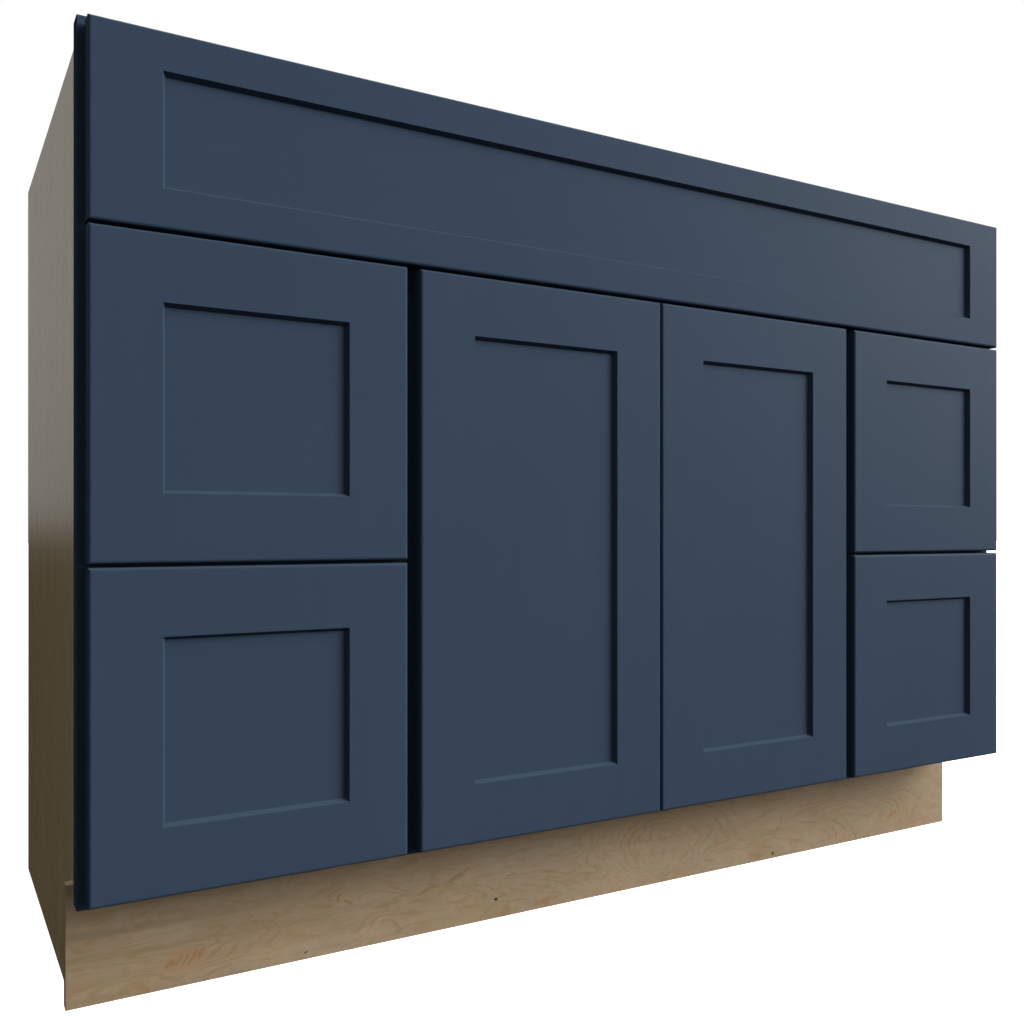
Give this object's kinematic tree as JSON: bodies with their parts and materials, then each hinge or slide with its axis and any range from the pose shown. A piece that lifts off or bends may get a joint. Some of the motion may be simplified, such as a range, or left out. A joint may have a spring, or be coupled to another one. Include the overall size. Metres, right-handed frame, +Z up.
{
  "type": "bathroom vanity cabinet",
  "caption": "Bathroom vanity base cabinet with a face frame, full-overlay shaker doors, drawers and false front, plywood sides and a recessed toe kick.",
  "frame": {"origin": "on the floor, at the middle of the overall width and depth", "axes": "+X to the right along the fronts, +Y back towards the wall, +Z up; the doors and drawers face -Y"},
  "size_m": [1.2192, 0.548, 0.8763],
  "materials": {
    "navy_paint": "satin navy-blue paint on wood",
    "maple_plywood": "clear satin lacquer on maple veneer plywood",
    "figured_plywood": "bare figured maple plywood with small knots",
    "solid_maple": "clear satin lacquer on solid maple",
    "zinc_steel": "zinc-plated sheet steel",
    "nickel_steel": "nickel-plated steel"
  },
  "bodies": {
    "cabinet": {"back_panel": "maple_plywood", "corner_brace_back_left": "maple_plywood", "corner_brace_back_right": "maple_plywood", "corner_brace_front_left": "maple_plywood", "corner_brace_front_right": "maple_plywood", "false_front_frame": "navy_paint", "false_front_panel": "navy_paint", "floor_panel": "maple_plywood", "frame_bottom_rail": "navy_paint", "frame_drawer_rail_left": "navy_paint", "frame_drawer_rail_right": "navy_paint", "frame_middle_rail": "navy_paint", "frame_mullion_left": "navy_paint", "frame_mullion_right": "navy_paint", "frame_stile_left": "navy_paint", "frame_stile_right": "navy_paint", "frame_top_rail": "navy_paint", "hanging_rail": "maple_plywood", "left_door_lower_hinge_arm": "nickel_steel", "left_door_upper_hinge_arm": "nickel_steel", "lower_left_drawer_runner_left": "zinc_steel", "lower_left_drawer_runner_right": "zinc_steel", "lower_right_drawer_runner_left": "zinc_steel", "lower_right_drawer_runner_right": "zinc_steel", "partition_left": "maple_plywood", "partition_right": "maple_plywood", "right_door_lower_hinge_arm": "nickel_steel", "right_door_upper_hinge_arm": "nickel_steel", "side_panel_left": "maple_plywood", "side_panel_right": "maple_plywood", "toe_kick_board": "figured_plywood", "toe_kick_support": "maple_plywood", "upper_left_drawer_runner_left": "zinc_steel", "upper_left_drawer_runner_right": "zinc_steel", "upper_right_drawer_runner_left": "zinc_steel", "upper_right_drawer_runner_right": "zinc_steel"},
    "left_door": {"left_door_frame": "navy_paint", "left_door_lower_hinge_cup": "nickel_steel", "left_door_panel": "navy_paint", "left_door_upper_hinge_cup": "nickel_steel"},
    "lower_left_drawer": {"lower_left_drawer_bottom": "maple_plywood", "lower_left_drawer_box": "solid_maple", "lower_left_drawer_front_frame": "navy_paint", "lower_left_drawer_front_panel": "navy_paint"},
    "lower_right_drawer": {"lower_right_drawer_bottom": "maple_plywood", "lower_right_drawer_box": "solid_maple", "lower_right_drawer_front_frame": "navy_paint", "lower_right_drawer_front_panel": "navy_paint"},
    "right_door": {"right_door_frame": "navy_paint", "right_door_lower_hinge_cup": "nickel_steel", "right_door_panel": "navy_paint", "right_door_upper_hinge_cup": "nickel_steel"},
    "upper_left_drawer": {"upper_left_drawer_bottom": "maple_plywood", "upper_left_drawer_box": "solid_maple", "upper_left_drawer_front_frame": "navy_paint", "upper_left_drawer_front_panel": "navy_paint"},
    "upper_right_drawer": {"upper_right_drawer_bottom": "maple_plywood", "upper_right_drawer_box": "solid_maple", "upper_right_drawer_front_frame": "navy_paint", "upper_right_drawer_front_panel": "navy_paint"}
  },
  "joints": [
    {"name": "left_door_hinge", "type": "hinge", "parent": "cabinet", "child": "left_door", "pos_m": [-0.29295, -0.26855, 0.40798], "axis": [0, 0, -1], "range_deg": [0, 90]},
    {"name": "right_door_hinge", "type": "hinge", "parent": "cabinet", "child": "right_door", "pos_m": [0.29295, -0.26855, 0.40798], "axis": [0, 0, 1], "range_deg": [0, 90]},
    {"name": "upper_left_drawer_slide", "type": "slide", "parent": "cabinet", "child": "upper_left_drawer", "axis": [0, -1, 0], "range_m": [0, 0.34]},
    {"name": "lower_left_drawer_slide", "type": "slide", "parent": "cabinet", "child": "lower_left_drawer", "axis": [0, -1, 0], "range_m": [0, 0.34]},
    {"name": "upper_right_drawer_slide", "type": "slide", "parent": "cabinet", "child": "upper_right_drawer", "axis": [0, -1, 0], "range_m": [0, 0.34]},
    {"name": "lower_right_drawer_slide", "type": "slide", "parent": "cabinet", "child": "lower_right_drawer", "axis": [0, -1, 0], "range_m": [0, 0.34]}
  ]
}
